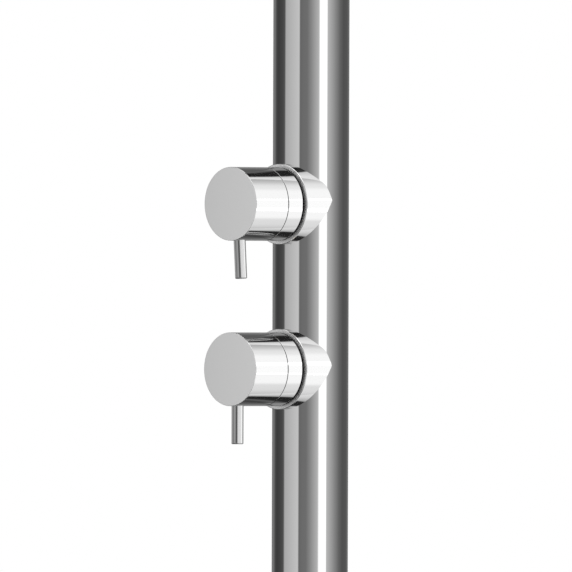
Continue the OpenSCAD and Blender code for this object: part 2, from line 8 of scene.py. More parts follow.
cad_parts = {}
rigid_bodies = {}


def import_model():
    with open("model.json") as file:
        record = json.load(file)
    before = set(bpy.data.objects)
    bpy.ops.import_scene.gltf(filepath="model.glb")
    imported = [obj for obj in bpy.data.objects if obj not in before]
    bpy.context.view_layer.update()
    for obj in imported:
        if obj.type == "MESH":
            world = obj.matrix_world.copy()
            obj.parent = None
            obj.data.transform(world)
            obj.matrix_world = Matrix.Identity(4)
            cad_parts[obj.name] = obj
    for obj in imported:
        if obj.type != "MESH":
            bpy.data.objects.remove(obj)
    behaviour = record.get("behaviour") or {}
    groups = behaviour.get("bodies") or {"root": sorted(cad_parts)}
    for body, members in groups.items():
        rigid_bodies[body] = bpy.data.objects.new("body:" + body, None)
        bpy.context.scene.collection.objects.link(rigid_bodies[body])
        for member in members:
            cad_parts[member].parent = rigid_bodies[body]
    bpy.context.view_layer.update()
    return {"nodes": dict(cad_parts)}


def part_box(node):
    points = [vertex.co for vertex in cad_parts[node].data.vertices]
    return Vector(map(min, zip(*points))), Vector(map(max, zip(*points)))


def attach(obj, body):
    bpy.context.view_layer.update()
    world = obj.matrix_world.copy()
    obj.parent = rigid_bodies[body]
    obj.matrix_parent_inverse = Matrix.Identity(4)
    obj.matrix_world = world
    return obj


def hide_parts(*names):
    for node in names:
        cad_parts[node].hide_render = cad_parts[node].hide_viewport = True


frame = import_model()

MM = 0.001
FINE_ROUND = 256     # corners round the post and the shower head
ROUND = 192          # corners round another large turned piece
SMALL_ROUND = 96     # corners round a small one
FINE_EDGE = 0.25 * MM
MERGE = 0.001 * MM
TUBE_WALL = 1.5 * MM
FIT = 0.2 * MM       # room between a bore and what goes through it


# Sizes read from the frame

def low_high(node):
    low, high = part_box(node)
    return Vector(low), Vector(high)


def middle(node):
    low, high = low_high(node)
    return (low + high) / 2


post_low, post_high = low_high("post_tube")
POST_R = (post_high.x - post_low.x) / 2
POST_IN_R = POST_R - TUBE_WALL
HEIGHTS = {"lower": middle("lower_handle").z, "upper": middle("upper_handle").z}
ARM_H = middle("arm_collar").z
ARM_R = (low_high("shower_arm")[1].x - low_high("shower_arm")[0].x) / 2
REACH = -middle("nozzle_plate").y
BALL_R = 10 * MM
BALL_NECK = 12 * MM
BALL_Z = low_high("shower_arm")[0].z - BALL_NECK - BALL_R


def span_out(node):
    """Where a control's piece starts and ends along -Y."""
    low, high = low_high(node)
    return -high.y, -low.y


COLLAR_BACK, COLLAR_FRONT = span_out("lower_collar")
SLEEVE_BACK, SLEEVE_FRONT = span_out("lower_sleeve")
HANDLE_BACK, HANDLE_FRONT = span_out("lower_handle")
COLLAR_R = (low_high("lower_collar")[1].x - low_high("lower_collar")[0].x) / 2
BORE_R = (low_high("lower_valve_body")[1].x - low_high("lower_valve_body")[0].x) / 2 + FIT
HANDLE_R = (low_high("lower_sleeve")[1].x - low_high("lower_sleeve")[0].x) / 2
LEVER_OUT = -middle("lower_lever_pin").y
LEVER_R = (low_high("lower_lever_pin")[1].x - low_high("lower_lever_pin")[0].x) / 2
LEANS = {"lower": 0, "upper": 3.5}     # degrees that a lever hangs to the right
COLLAR_ROUND = 0.5 * MM
HANDLE_ROUND = 0.25 * MM
# The groove lies a little further out in the photograph than between the CAD collar and sleeve
COLLAR_LONGER, SLEEVE_SHORTER = 0.9 * MM, 0.5 * MM
GROOVE_BACK = COLLAR_FRONT + COLLAR_LONGER
GROOVE_FRONT = SLEEVE_BACK + SLEEVE_SHORTER


# Modelling helpers

def deselect_objects():
    bpy.ops.object.select_all(action="DESELECT")


def start(name):
    """Names the primitive that was just added."""
    piece = bpy.context.object
    piece.name = name
    piece.data.name = name
    return piece


def supported(profile, closed, gap):
    """Adds points a little before and after each corner, so that flat faces shade flat."""
    points = list(profile)
    if closed:
        points.append(profile[0])
    else:
        points.insert(0, (points[0][0] - 2 * gap, points[0][1]))
        points.append((points[-1][0] - 2 * gap, points[-1][1]))
    result = []
    for (r0, z0), (r1, z1) in zip(points, points[1:]):
        result.append((r0, z0))
        length = math.hypot(r1 - r0, z1 - z0)
        if length > 3 * gap:
            share = gap / length
            result.append((r0 + (r1 - r0) * share, z0 + (z1 - z0) * share))
            result.append((r1 - (r1 - r0) * share, z1 - (z1 - z0) * share))
    if not closed:
        result.append(points[-1])
    return result


def turned(name, profile, corners=ROUND, closed=False, edge=FINE_EDGE):
    """A piece turned about Z: a circle is extruded and scaled from point to point of a profile.

    The profile is a list of (radius, height). A closed one is a ring with a bore."""
    profile = supported(profile, closed, 1.4 * edge)
    deselect_objects()
    radius, height = profile[0]
    bpy.ops.mesh.primitive_circle_add(vertices=corners, radius=radius, location=(0, 0, height))
    piece = start(name)
    bpy.ops.object.transform_apply(location=True, rotation=True, scale=True)
    bpy.ops.object.mode_set(mode="EDIT")
    bpy.ops.mesh.select_mode(type="EDGE")
    bpy.ops.mesh.select_all(action="SELECT")
    if not closed:
        bpy.ops.mesh.edge_face_add()
        bpy.ops.mesh.select_all(action="SELECT")
    at_r, at_z = radius, height
    points = profile[1:] + ([profile[0]] if closed else [])
    for r, z in points:
        if closed:
            bpy.ops.mesh.extrude_edges_move(TRANSFORM_OT_translate={"value": (0, 0, z - at_z)})
        else:
            bpy.ops.mesh.extrude_region_move(TRANSFORM_OT_translate={"value": (0, 0, z - at_z)})
        share = r / at_r
        bpy.ops.transform.resize(value=(share, share, 1), center_override=(0, 0, z))
        at_r, at_z = r, z
    bpy.ops.mesh.select_all(action="SELECT")
    bpy.ops.mesh.remove_doubles(threshold=MERGE)
    bpy.ops.mesh.normals_make_consistent(inside=False)
    bpy.ops.object.mode_set(mode="OBJECT")
    return piece


def bevelled(piece, width=FINE_EDGE, segments=3, angle=30):
    """Breaks a piece's sharp edges."""
    modifier = piece.modifiers.new("edges", "BEVEL")
    modifier.width = width
    modifier.segments = segments
    modifier.limit_method = "ANGLE"
    modifier.angle_limit = math.radians(angle)
    modifier.harden_normals = False
    apply_modifier(piece, modifier)
    return piece


def apply_modifier(piece, modifier):
    deselect_objects()
    piece.select_set(True)
    bpy.context.view_layer.objects.active = piece
    bpy.ops.object.modifier_apply(modifier=modifier.name)


def smooth(piece, angle=35):
    deselect_objects()
    piece.select_set(True)
    bpy.context.view_layer.objects.active = piece
    bpy.ops.object.shade_smooth_by_angle(angle=math.radians(angle))
    return piece


def set_on_control(piece, height):
    """Turns a piece from standing on Z to pointing out along -Y at a height."""
    piece.data.transform(Matrix.Translation((0, 0, height)) @ Matrix.Rotation(math.pi / 2, 4, "X"))
    return piece


def finish(piece, material, slot, body, *nodes):
    """Gives a finished piece its material, its body and the CAD nodes that it stands for."""
    piece.data.materials.clear()
    piece.data.materials.append(material)
    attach(piece, body)
    if nodes:
        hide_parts(*nodes)
    return piece


def ring_profile(outer, inner, low, high):
    return [(inner, low), (outer, low), (outer, high), (inner, high)]


def rounded_rim(outer, front, width):
    """Points of (radius, height) round a quarter circle, from the side to the front."""
    steps = 4
    turns = [math.radians(90 * step / steps) for step in range(steps + 1)]
    return [(outer - width + width * math.cos(a), front - width + width * math.sin(a))
            for a in turns]


# Node groups that the materials share

POLISH_BUMP, GRAIN_BUMP = 0.02 * MM, 0.1 * MM


def new_group(name, inputs, outputs):
    group = bpy.data.node_groups.new(name, "ShaderNodeTree")
    for label, kind, value in inputs:
        socket = group.interface.new_socket(name=label, in_out="INPUT", socket_type=kind)
        if value is not None:
            socket.default_value = value
    for label, kind in outputs:
        group.interface.new_socket(name=label, in_out="OUTPUT", socket_type=kind)
    source = group.nodes.new("NodeGroupInput")
    target = group.nodes.new("NodeGroupOutput")
    return group, source, target


def polish_group():
    """Fine polishing marks and faint water haze: a roughness and a normal."""
    group, source, target = new_group(
        "polish_marks",
        [("Vector", "NodeSocketVector", None), ("Base", "NodeSocketFloat", 0.04),
         ("Haze", "NodeSocketFloat", 0.03), ("Depth", "NodeSocketFloat", 0.02)],
        [("Roughness", "NodeSocketFloat"), ("Normal", "NodeSocketVector")])
    nodes, links = group.nodes, group.links
    haze = nodes.new("ShaderNodeTexNoise")
    haze.inputs["Scale"].default_value = 18
    haze.inputs["Detail"].default_value = 4
    marks = nodes.new("ShaderNodeTexNoise")
    marks.inputs["Scale"].default_value = 900
    marks.inputs["Detail"].default_value = 2
    soft = nodes.new("ShaderNodeMapRange")
    soft.inputs["From Min"].default_value = 0.35
    soft.inputs["From Max"].default_value = 0.75
    scale = nodes.new("ShaderNodeMath")
    scale.operation = "MULTIPLY"
    total = nodes.new("ShaderNodeMath")
    total.operation = "ADD"
    bump = nodes.new("ShaderNodeBump")
    bump.inputs["Distance"].default_value = POLISH_BUMP
    links.new(source.outputs["Vector"], haze.inputs["Vector"])
    links.new(source.outputs["Vector"], marks.inputs["Vector"])
    links.new(haze.outputs["Fac"], soft.inputs["Value"])
    links.new(soft.outputs["Result"], scale.inputs[0])
    links.new(source.outputs["Haze"], scale.inputs[1])
    links.new(scale.outputs[0], total.inputs[0])
    links.new(source.outputs["Base"], total.inputs[1])
    links.new(source.outputs["Depth"], bump.inputs["Strength"])
    links.new(marks.outputs["Fac"], bump.inputs["Height"])
    links.new(total.outputs[0], target.inputs["Roughness"])
    links.new(bump.outputs["Normal"], target.inputs["Normal"])
    return group


def grain_group():
    """A fine mottle for moulded, rubber, cast and drawn surfaces: a colour factor and a normal."""
    group, source, target = new_group(
        "fine_grain",
        [("Vector", "NodeSocketVector", None), ("Scale", "NodeSocketFloat", 400),
         ("Depth", "NodeSocketFloat", 0.1)],
        [("Mask", "NodeSocketFloat"), ("Normal", "NodeSocketVector")])
    nodes, links = group.nodes, group.links
    grain = nodes.new("ShaderNodeTexNoise")
    grain.inputs["Detail"].default_value = 5
    bump = nodes.new("ShaderNodeBump")
    bump.inputs["Distance"].default_value = GRAIN_BUMP
    links.new(source.outputs["Vector"], grain.inputs["Vector"])
    links.new(source.outputs["Scale"], grain.inputs["Scale"])
    links.new(source.outputs["Depth"], bump.inputs["Strength"])
    links.new(grain.outputs["Fac"], bump.inputs["Height"])
    links.new(grain.outputs["Fac"], target.inputs["Mask"])
    links.new(bump.outputs["Normal"], target.inputs["Normal"])
    return group


POLISH = polish_group()
GRAIN = grain_group()


def new_material(name):
    material = bpy.data.materials.new(name)
    material.use_nodes = True
    return material, material.node_tree.nodes, material.node_tree.links


def place_group(nodes, links, group, **values):
    """Places a shared group in a material, fed by Object coordinates."""
    placed = nodes.new("ShaderNodeGroup")
    placed.node_tree = group
    coordinates = nodes.new("ShaderNodeTexCoord")
    links.new(coordinates.outputs["Object"], placed.inputs["Vector"])
    for label, value in values.items():
        placed.inputs[label].default_value = value
    return placed


def polished_metal(name, colour, base, haze, depth):
    material, nodes, links = new_material(name)
    shader = nodes["Principled BSDF"]
    shader.inputs["Base Color"].default_value = (*colour, 1)
    shader.inputs["Metallic"].default_value = 1
    marks = place_group(nodes, links, POLISH, Base=base, Haze=haze, Depth=depth)
    links.new(marks.outputs["Roughness"], shader.inputs["Roughness"])
    links.new(marks.outputs["Normal"], shader.inputs["Normal"])
    return material


def grained(name, colour, other, roughness, metallic, scale, depth):
    """A surface whose colour drifts between two tones with a fine grain."""
    material, nodes, links = new_material(name)
    shader = nodes["Principled BSDF"]
    shader.inputs["Roughness"].default_value = roughness
    shader.inputs["Metallic"].default_value = metallic
    grain = place_group(nodes, links, GRAIN, Scale=scale, Depth=depth)
    ramp = nodes.new("ShaderNodeValToRGB")
    ramp.color_ramp.elements[0].position = 0.3
    ramp.color_ramp.elements[0].color = (*colour, 1)
    ramp.color_ramp.elements[1].position = 0.7
    ramp.color_ramp.elements[1].color = (*other, 1)
    links.new(grain.outputs["Mask"], ramp.inputs["Fac"])
    links.new(ramp.outputs["Color"], shader.inputs["Base Color"])
    links.new(grain.outputs["Normal"], shader.inputs["Normal"])
    return material


def faced_metal(name, height, front, face):
    """Bright polished sides and a satin face with turning rings about the control's axis. The
    face's tone is painted lighter towards +X and darker towards -X as painted light and shade, and
    a dark face tone stands for painted shade in a gap.
    """
    face_roughness, face_tone = face
    material, nodes, links = new_material(name)
    shader = nodes["Principled BSDF"]
    shader.inputs["Metallic"].default_value = 1
    marks = place_group(nodes, links, POLISH, Base=0.06, Haze=0.02, Depth=0.01)
    coordinates = nodes.new("ShaderNodeTexCoord")
    centred = nodes.new("ShaderNodeMapping")
    centred.inputs["Location"].default_value = (0, 0, -height)
    parts = nodes.new("ShaderNodeSeparateXYZ")
    front_face = nodes.new("ShaderNodeMapRange")
    front_face.inputs["From Min"].default_value = -front + FACE_BLEND[0]
    front_face.inputs["From Max"].default_value = -front + FACE_BLEND[1]
    flat = nodes.new("ShaderNodeCombineXYZ")
    rings = nodes.new("ShaderNodeTexWave")
    rings.wave_type = "RINGS"
    rings.rings_direction = "SPHERICAL"
    rings.inputs["Scale"].default_value = 500
    rings.inputs["Distortion"].default_value = 0.4
    bump = nodes.new("ShaderNodeBump")
    bump.inputs["Distance"].default_value = POLISH_BUMP
    strength = nodes.new("ShaderNodeMath")
    strength.operation = "MULTIPLY"
    strength.inputs[1].default_value = FACE_RING_DEPTH
    blend = nodes.new("ShaderNodeMix")
    blend.inputs["B"].default_value = face_roughness
    # The face's tone is painted lighter towards +X and darker towards -X: a painted light-and-shade
    # gradient
    painted_light_spread = nodes.new("ShaderNodeMapRange")
    painted_light_spread.inputs["From Min"].default_value = -HANDLE_R
    painted_light_spread.inputs["From Max"].default_value = HANDLE_R
    painted_light_spread.inputs["To Min"].default_value = face_tone * (1 - FACE_PAINTED_LIGHT)
    painted_light_spread.inputs["To Max"].default_value = face_tone * (1 + FACE_PAINTED_LIGHT)
    tones = nodes.new("ShaderNodeMix")
    tones.data_type = "RGBA"
    side_tone, face_colour, mixed_tone = tones.inputs[6], tones.inputs[7], tones.outputs[2]
    side_tone.default_value = (*CONTROL_TONE, 1)
    links.new(parts.outputs["X"], painted_light_spread.inputs["Value"])
    links.new(painted_light_spread.outputs["Result"], face_colour)
    links.new(front_face.outputs["Result"], tones.inputs[0])
    links.new(mixed_tone, shader.inputs["Base Color"])
    links.new(coordinates.outputs["Object"], centred.inputs["Vector"])
    links.new(centred.outputs["Vector"], parts.inputs["Vector"])
    links.new(parts.outputs["Y"], front_face.inputs["Value"])
    links.new(parts.outputs["X"], flat.inputs["X"])
    links.new(parts.outputs["Z"], flat.inputs["Z"])
    links.new(flat.outputs["Vector"], rings.inputs["Vector"])
    links.new(front_face.outputs["Result"], strength.inputs[0])
    links.new(strength.outputs[0], bump.inputs["Strength"])
    links.new(rings.outputs["Fac"], bump.inputs["Height"])
    links.new(marks.outputs["Normal"], bump.inputs["Normal"])
    links.new(front_face.outputs["Result"], blend.inputs["Factor"])
    links.new(marks.outputs["Roughness"], blend.inputs["A"])
    links.new(blend.outputs["Result"], shader.inputs["Roughness"])
    links.new(bump.outputs["Normal"], shader.inputs["Normal"])
    return material


POST_TONE = (0.90, 0.90, 0.90)
CONTROL_TONE = (0.93, 0.93, 0.93)
# The lever pins' chrome is painted darker than the controls' chrome: painted shade
PIN_SHADED_TONE = (0.55, 0.55, 0.55)
# The roughness and the tone of a front face; the sleeve end's dark tone is painted shade in the
# seam before the handle
HANDLE_FACE = (0.40, 0.95)
COLLAR_FACE = (0.45, 0.95)
SLEEVE_END_SHADE = (0.6, 0.1)
FACE_BLEND = (0.10 * MM, 0.02 * MM)     # behind the front, where the side turns into the face
FACE_RING_DEPTH = 0.15
# How much lighter and darker the face's tone is painted from -X to +X: painted light and shade
FACE_PAINTED_LIGHT = 0.045
SEAL_IOR = 1.7

STEEL = polished_metal("polished_steel", POST_TONE, 0.02, 0.015, 0.004)
# A darker copy of the control chrome: painted shade on the lever pins
PIN = polished_metal("lever_chrome", PIN_SHADED_TONE, 0.05, 0.02, 0.008)
SATIN = polished_metal("satin_steel", (0.78, 0.78, 0.78), 0.22, 0.08, 0.05)
BRASS = grained("machined_brass", (0.72, 0.53, 0.24), (0.80, 0.62, 0.32), 0.28, 1, 300, 0.2)
COPPER = grained("drawn_copper", (0.72, 0.38, 0.24), (0.80, 0.48, 0.33), 0.25, 1, 250, 0.15)
RUBBER = grained("black_rubber", (0.012, 0.012, 0.012), (0.02, 0.02, 0.02), 0.55, 0, 700, 0.25)
SEAL = grained("sealing_rubber", (0.012, 0.012, 0.012), (0.02, 0.02, 0.02), 0.3, 0, 700, 0.05)
SEAL.node_tree.nodes["Principled BSDF"].inputs["IOR"].default_value = SEAL_IOR
PLASTIC = grained("white_plastic", (0.82, 0.82, 0.79), (0.88, 0.88, 0.85), 0.45, 0, 500, 0.1)
CERAMIC = grained("lapped_ceramic", (0.90, 0.89, 0.85), (0.94, 0.93, 0.90), 0.12, 0, 600, 0.02)
SILICONE = grained("grey_silicone", (0.20, 0.21, 0.22), (0.25, 0.26, 0.27), 0.5, 0, 600, 0.15)
DARK = grained("dark_steel", (0.12, 0.12, 0.13), (0.18, 0.18, 0.19), 0.35, 1, 500, 0.2)


# The post and what is fixed on it

def post_tube():
    low, high = post_low.z, post_high.z
    profile = ring_profile(POST_R, POST_IN_R, low, high)
    piece = turned("post_tube_polished", profile, FINE_ROUND, True)
    smooth(piece)
    finish(piece, STEEL, "polished_steel", "post", "post_tube")


def top_cap():
    low, high = low_high("top_cap")
    seat, edge = post_high.z, 0.5 * MM
    gap, wall = 0.05 * MM, 1.95 * MM
    spigot = POST_IN_R - gap
    inner = spigot - wall
    piece = turned("top_cap_polished", [
        (inner, seat), (inner, low.z), (spigot, low.z), (spigot, seat),
        (POST_R, seat), (POST_R, high.z)], edge=edge)
    smooth(bevelled(piece, edge))
    finish(piece, STEEL, "polished_steel", "post", "top_cap")


def base_plate():
    """The plate with its blended neck, anchor holes and softened rim."""
    low, high = low_high("base_plate")
    plate_r = (high.x - low.x) / 2
    plate_t, blend_r, neck_wall, edge = 10 * MM, 7 * MM, 5 * MM, 0.5 * MM
    anchors, anchor_r, anchors_out, corners = 4, 6 * MM, 90 * MM, 48
    bore = POST_R + FIT
    neck_r = bore + neck_wall
    steps = 10
    blend = [(neck_r + blend_r - blend_r * math.sin(a), plate_t + blend_r - blend_r * math.cos(a))
             for a in [math.radians(90 * step / steps) for step in range(steps + 1)]]
    piece = turned("base_plate_polished", [
        (bore, low.z), (plate_r, low.z), (plate_r, plate_t), *blend,
        (neck_r, high.z), (bore, high.z)], ROUND, True, edge)
    holes = []
    for step in range(anchors):
        turn = math.radians(45 + 360 * step / anchors)
        deselect_objects()
        bpy.ops.mesh.primitive_cylinder_add(
            vertices=corners, radius=anchor_r, depth=4 * plate_t,
            location=(anchors_out * math.cos(turn), anchors_out * math.sin(turn), plate_t / 2))
        holes.append(bpy.context.object)
    for hole in holes:
        modifier = piece.modifiers.new("hole", "BOOLEAN")
        modifier.object = hole
        modifier.solver = "EXACT"
        apply_modifier(piece, modifier)
        bpy.data.objects.remove(hole)
    smooth(bevelled(piece, edge))
    finish(piece, STEEL, "polished_steel", "post", "base_plate")


TIP_H = 2.5 * MM
TIP_RISE, TIP_FALL = 0.3, 0.59


def saddle_reach(side, up, back):
    """How far out a collar's back edge lies: on the post, or at its tip where it is wider."""
    soft = 0.8 * MM
    depth = math.sqrt(max(POST_R ** 2 - side ** 2, 0))
    slope = TIP_RISE if up > TIP_H else -TIP_FALL
    tip = back + slope * (up - TIP_H)
    return math.log(math.exp(depth / soft) + math.exp(tip / soft)) * soft


def saddled(name, outer, bore, front, back, height, width):
    """A turned collar whose back edge is drawn onto the post like a saddle, a hair into it."""
    sunk, ahead, drawn, edge = 0.2 * MM, 0.5 * MM, 0.45 * MM, 0.2 * MM
    start_at = POST_R + ahead
    rim = rounded_rim(outer, front, width)
    piece = turned(name, [(bore, start_at), (outer, start_at), *rim, (bore, front)],
                   ROUND, True, edge)
    mesh = bmesh.new()
    mesh.from_mesh(piece.data)
    for vert in mesh.verts:
        if vert.co.z < start_at + drawn:
            reach = saddle_reach(vert.co.x, vert.co.y, back)
            vert.co.z = reach - sunk + vert.co.z - start_at
    mesh.to_mesh(piece.data)
    mesh.free()
    set_on_control(piece, height)
    return smooth(piece)


def weld_bead(name, outer, back, height, thickness):
    """The polished fillet that runs round a collar where it meets the post."""
    curve = bpy.data.curves.new(name, "CURVE")
    curve.dimensions = "3D"
    spline = curve.splines.new("POLY")
    spline.points.add(ROUND - 1)
    for i in range(ROUND):
        turn = 2 * math.pi * i / ROUND
        side = outer * math.cos(turn)
        up = outer * math.sin(turn)
        out = saddle_reach(side, up, back) + thickness / 2
        spline.points[i].co = (side, -out, height + up, 1)
    spline.use_cyclic_u = True
    curve.bevel_depth = thickness
    curve.bevel_resolution = 5
    bead = bpy.data.objects.new(name, curve)
    bpy.context.scene.collection.objects.link(bead)
    deselect_objects()
    bead.select_set(True)
    bpy.context.view_layer.objects.active = bead
    bpy.ops.object.convert(target="MESH")
    return smooth(bpy.context.object, 60)


def collar(which):
    height = HEIGHTS[which]
    piece = saddled(f"{which}_collar_polished", COLLAR_R, BORE_R, GROOVE_BACK, COLLAR_BACK, height,
                    COLLAR_ROUND)
    piece.visible_glossy = False     # the post in the photograph shows no collar in it
    metal = faced_metal(f"{which}_collar_metal", height, GROOVE_BACK, COLLAR_FACE)
    finish(piece, metal, "polished_steel", "post", f"{which}_collar")


def groove_ring(which):
    """A black seal with a rounded bead along its middle and a thin black rubber lip laid on the
    collar's face, which stands for painted shade on the groove's wall.
    """
    low, high = GROOVE_BACK, GROOVE_FRONT
    sunk, bead_r, bead_h, edge, steps = 1.0 * MM, 0.35 * MM, 1.5 * MM, 0.1 * MM, 8
    # A thin black rubber sheet on the collar's face in the groove: painted shade on that wall
    shade_sheet_in, shade_sheet_t = 0.2 * MM, 0.2 * MM
    bead_middle = HANDLE_R - sunk - bead_r
    floor_r = bead_middle - bead_h
    bead = [(bead_middle + bead_r * math.sin(a), (low + high) / 2 - bead_r * math.cos(a))
            for a in [math.radians(180 * step / steps) for step in range(steps + 1)]]
    piece = turned(f"{which}_groove_seal", [
        (BORE_R, low), (HANDLE_R - shade_sheet_in, low), (HANDLE_R - shade_sheet_in, low + shade_sheet_t),
        (floor_r, low + shade_sheet_t), *bead, (floor_r, high), (BORE_R, high)], ROUND, True, edge)
    set_on_control(smooth(piece), HEIGHTS[which])
    finish(piece, SEAL, "black_rubber", "post", f"{which}_groove_ring")


def sleeve(which):
    wall, edge = 1.8 * MM, 0.15 * MM
    profile = ring_profile(HANDLE_R, HANDLE_R - wall, GROOVE_FRONT, SLEEVE_FRONT)
    piece = turned(f"{which}_sleeve_polished", profile, ROUND, True)
    set_on_control(smooth(bevelled(piece, edge)), HEIGHTS[which])
    # The sleeve's end face is painted dark: painted shade in the seam before the handle
    metal = faced_metal(f"{which}_sleeve_metal", HEIGHTS[which], SLEEVE_FRONT, SLEEVE_END_SHADE)
    finish(piece, metal, "polished_steel", "post", f"{which}_sleeve")


def handle(which):
    """The turned cup with its solid front and the boss inside."""
    wall, front_t, boss_r, boss_sunk, edge = 3 * MM, 13.5 * MM, 9 * MM, 3.5 * MM, 0.3 * MM
    inner, web, boss_back = HANDLE_R - wall, HANDLE_FRONT - front_t, HANDLE_BACK + boss_sunk
    piece = turned(f"{which}_handle_turned", [
        (boss_r, boss_back), (boss_r, web), (inner, web), (inner, HANDLE_BACK),
        (HANDLE_R, HANDLE_BACK), *rounded_rim(HANDLE_R, HANDLE_FRONT, HANDLE_ROUND)])
    set_on_control(smooth(bevelled(piece, edge)), HEIGHTS[which])
    metal = faced_metal(f"{which}_handle_metal", HEIGHTS[which], HANDLE_FRONT, HANDLE_FACE)
    finish(piece, metal, "control_chrome", f"{which}_control", f"{which}_handle")


def lever_pin(which):
    """The pin hangs down from the control's axis, leaning to one side at rest."""
    reach, screwed_in, tip_round = 49.8 * MM, 12 * MM, 0.7 * MM
    inner_end = HANDLE_R - screwed_in
    piece = turned(f"{which}_lever_turned", [
        (LEVER_R, -reach), (LEVER_R, -inner_end)], SMALL_ROUND, edge=tip_round)
    bevelled(piece, tip_round, 4)
    lean = -math.radians(LEANS[which])
    piece.data.transform(Matrix.Translation((0, -LEVER_OUT, HEIGHTS[which]))
                         @ Matrix.Rotation(lean, 4, "Y"))
    smooth(piece)
    piece.visible_glossy = False     # the post in the photograph shows no lever in it
    finish(piece, PIN, "control_chrome", f"{which}_control", f"{which}_lever_pin")


# The arm and the shower head

def arm():
    """A straight tube drawn round its bend by spinning its end ring."""
    bend_r, edge = 45 * MM, 0.2 * MM
    low, high = low_high("shower_arm")
    run = REACH - bend_r
    deselect_objects()
    bpy.ops.mesh.primitive_circle_add(vertices=SMALL_ROUND, radius=ARM_R,
                                      location=(0, high.y, ARM_H), rotation=(math.pi / 2, 0, 0))
    piece = start("shower_arm_polished")
    bpy.ops.object.transform_apply(location=True, rotation=True, scale=True)
    bpy.ops.object.mode_set(mode="EDIT")
    bpy.ops.mesh.select_mode(type="EDGE")
    bpy.ops.mesh.select_all(action="SELECT")
    bpy.ops.mesh.extrude_edges_move(TRANSFORM_OT_translate={"value": (0, -run - high.y, 0)})
    bpy.ops.mesh.spin(steps=24, angle=-math.pi / 2, center=(0, -run, ARM_H - bend_r),
                      axis=(1, 0, 0), dupli=False)
    bpy.ops.object.mode_set(mode="OBJECT")
    ends = [v for v in piece.data.vertices if v.select]
    if sum(v.co.y for v in ends) / len(ends) > -run:
        raise RuntimeError("the arm was bent the wrong way")
    bpy.ops.object.mode_set(mode="EDIT")
    drop = low.z - (ARM_H - bend_r)
    bpy.ops.mesh.extrude_edges_move(TRANSFORM_OT_translate={"value": (0, 0, drop)})
    bpy.ops.mesh.select_all(action="SELECT")
    bpy.ops.mesh.remove_doubles(threshold=MERGE)
    bpy.ops.mesh.normals_make_consistent(inside=False)
    bpy.ops.object.mode_set(mode="OBJECT")
    shell = piece.modifiers.new("wall", "SOLIDIFY")
    shell.thickness = TUBE_WALL
    shell.offset = -1
    apply_modifier(piece, shell)
    smooth(bevelled(piece, edge, 2, 50))
    finish(piece, STEEL, "polished_steel", "post", "shower_arm")


def arm_collar():
    outer = (low_high("arm_collar")[1].x - low_high("arm_collar")[0].x) / 2
    front = span_out("arm_collar")[1]
    bead_r, bead_sunk, rim_round = 0.9 * MM, 0.4 * MM, 0.45 * MM
    piece = saddled("arm_collar_polished", outer, ARM_R + FIT, front, 0, ARM_H, rim_round)
    finish(piece, STEEL, "polished_steel", "post", "arm_collar")
    bead = weld_bead("arm_collar_weld", outer - bead_sunk, 0, ARM_H, bead_r)
    finish(bead, STEEL, "polished_steel", "post")


def head_at(piece):
    """Sets a piece that was turned about Z on the head's axis."""
    piece.data.transform(Matrix.Translation((0, -REACH, 0)))
    return smooth(piece)


def arc(radius, centre, from_deg, to_deg, steps):
    """Points of (radius, height) round a circle whose middle is on the axis."""
    turns = [math.radians(from_deg + (to_deg - from_deg) * i / steps) for i in range(steps + 1)]
    return [(radius * math.cos(a), centre + radius * math.sin(a)) for a in turns]


def ball_stem():
    """The flange, neck and ball that the head hangs on."""
    top = low_high("ball_stem")[1].z
    flange_top = low_high("shower_arm")[0].z
    flange_t, flange_over, spigot_in = 5 * MM, 0.5 * MM, 1.6 * MM
    flange = flange_top - flange_t
    flange_r, spigot_r, neck_r = ARM_R + flange_over, ARM_R - spigot_in, 5.5 * MM
    ball = arc(BALL_R, BALL_Z, -80, 56, 24)
    piece = turned("ball_stem_polished", [
        *ball, (neck_r, BALL_Z + BALL_R), (neck_r, flange), (flange_r, flange),
        (flange_r, flange_top), (spigot_r, flange_top), (spigot_r, top)], SMALL_ROUND)
    head_at(bevelled(piece, FINE_EDGE, 3, 40))
    finish(piece, STEEL, "polished_steel", "post", "ball_stem")


def ball_nut():
    low, high = low_high("ball_nut")
    outer = (high.x - low.x) / 2
    neck_r, ball_gap, edge, rim_round = 13.05 * MM, 0.3 * MM, 0.5 * MM, 0.8 * MM
    cup = arc(BALL_R + ball_gap, BALL_Z, 2, 36, 8)
    piece = turned("ball_nut_polished", [
        (neck_r, low.z), (outer, low.z), (outer, high.z), (cup[-1][0], high.z),
        *reversed(cup), (neck_r, cup[0][1])], SMALL_ROUND, True, edge)
    head_at(bevelled(piece, rim_round, 4, 50))
    finish(piece, STEEL, "polished_steel", "head", "ball_nut")


def head_shell():
    """A thin dome with a rolled rim."""
    low, high = low_high("head_shell")
    outer, wall, rim_h, dome_h = (high.x - low.x) / 2, 1.5 * MM, 9 * MM, 5 * MM
    rim = low.z + rim_h
    crown = rim + dome_h
    neck_r, neck_in_r, bore = 13 * MM, 10.3 * MM, 3.33 * MM
    nut_r, nut_wall, seat_t, edge = 17 * MM, 2 * MM, 2 * MM, 0.4 * MM
    seat = BALL_Z - BALL_R - seat_t
    piece = turned("head_shell_polished", [
        (bore, crown - 2 * wall), (neck_r, crown - 2 * wall), (nut_r, crown - nut_wall),
        (outer - wall, rim - wall), (outer - wall, low.z), (outer, low.z), (outer, rim),
        (nut_r, crown), (neck_r, crown), (neck_r, high.z), (neck_in_r, high.z),
        (neck_in_r, seat), (bore, seat)], FINE_ROUND, True, edge)
    head_at(bevelled(piece, edge, 4, 25))
    finish(piece, STEEL, "polished_steel", "head", "head_shell")


def nozzle_plate():
    low, high = low_high("nozzle_plate")
    outer = (high.x - low.x) / 2
    piece = turned("nozzle_plate_satin", [(outer, low.z), (outer, high.z)], FINE_ROUND)
    head_at(bevelled(piece))
    finish(piece, SATIN, "polished_steel", "head", "nozzle_plate")


